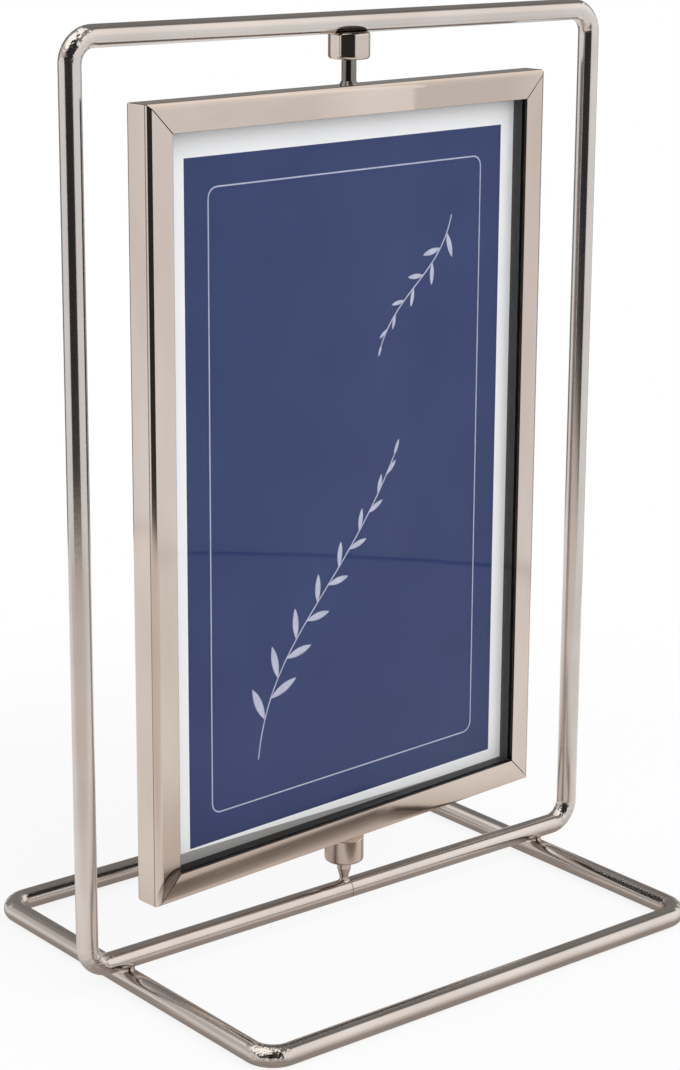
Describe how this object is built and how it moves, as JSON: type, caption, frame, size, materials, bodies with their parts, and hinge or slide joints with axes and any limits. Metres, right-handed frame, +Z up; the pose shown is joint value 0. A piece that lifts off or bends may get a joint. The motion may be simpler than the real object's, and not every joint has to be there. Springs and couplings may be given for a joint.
{
  "type": "rotating photo frame",
  "caption": "Two-sided rectangular photo frame of mitred metal channel that turns on upright pivots inside a loop of round wire, welded onto a flat wire base.",
  "frame": {"origin": "on the table under the turning axis, at the middle of the base", "axes": "+Z up along the turning axis, +X to the right along the upright loop, +Y to the rear"},
  "size_m": [0.1354, 0.0974, 0.1922],
  "materials": {
    "nickel": "polished nickel plate",
    "key_steel": "zinc-plated",
    "clip_steel": "bright spring steel",
    "black_spacer": "satin black",
    "glass": "clear float glass",
    "print": "printed paper",
    "card": "white card"
  },
  "bodies": {
    "stand": {"upright_loop": "nickel", "base_loop": "nickel", "left_weld": "nickel", "right_weld": "nickel", "top_collar": "nickel", "bottom_pin": "nickel"},
    "turning_frame": {"top_rail": "nickel", "bottom_rail": "nickel", "left_stile": "nickel", "right_stile": "nickel", "top_pin": "nickel", "bottom_collar": "nickel", "top_left_corner_key": "key_steel", "top_right_corner_key": "key_steel", "bottom_left_corner_key": "key_steel", "bottom_right_corner_key": "key_steel", "top_spacer": "black_spacer", "bottom_spacer": "black_spacer", "left_spacer": "black_spacer", "right_spacer": "black_spacer", "front_glass": "glass", "rear_glass": "glass", "front_print": "print", "rear_print": "print", "backing_card": "card", "top_clip": "clip_steel", "bottom_clip": "clip_steel", "upper_left_clip": "clip_steel", "lower_left_clip": "clip_steel", "upper_right_clip": "clip_steel", "lower_right_clip": "clip_steel"}
  },
  "joints": [
    {"name": "frame_turn", "type": "hinge", "parent": "stand", "child": "turning_frame", "pos_m": [0, 0, 0.09835], "axis": [0, 0, 1], "continuous": true}
  ]
}
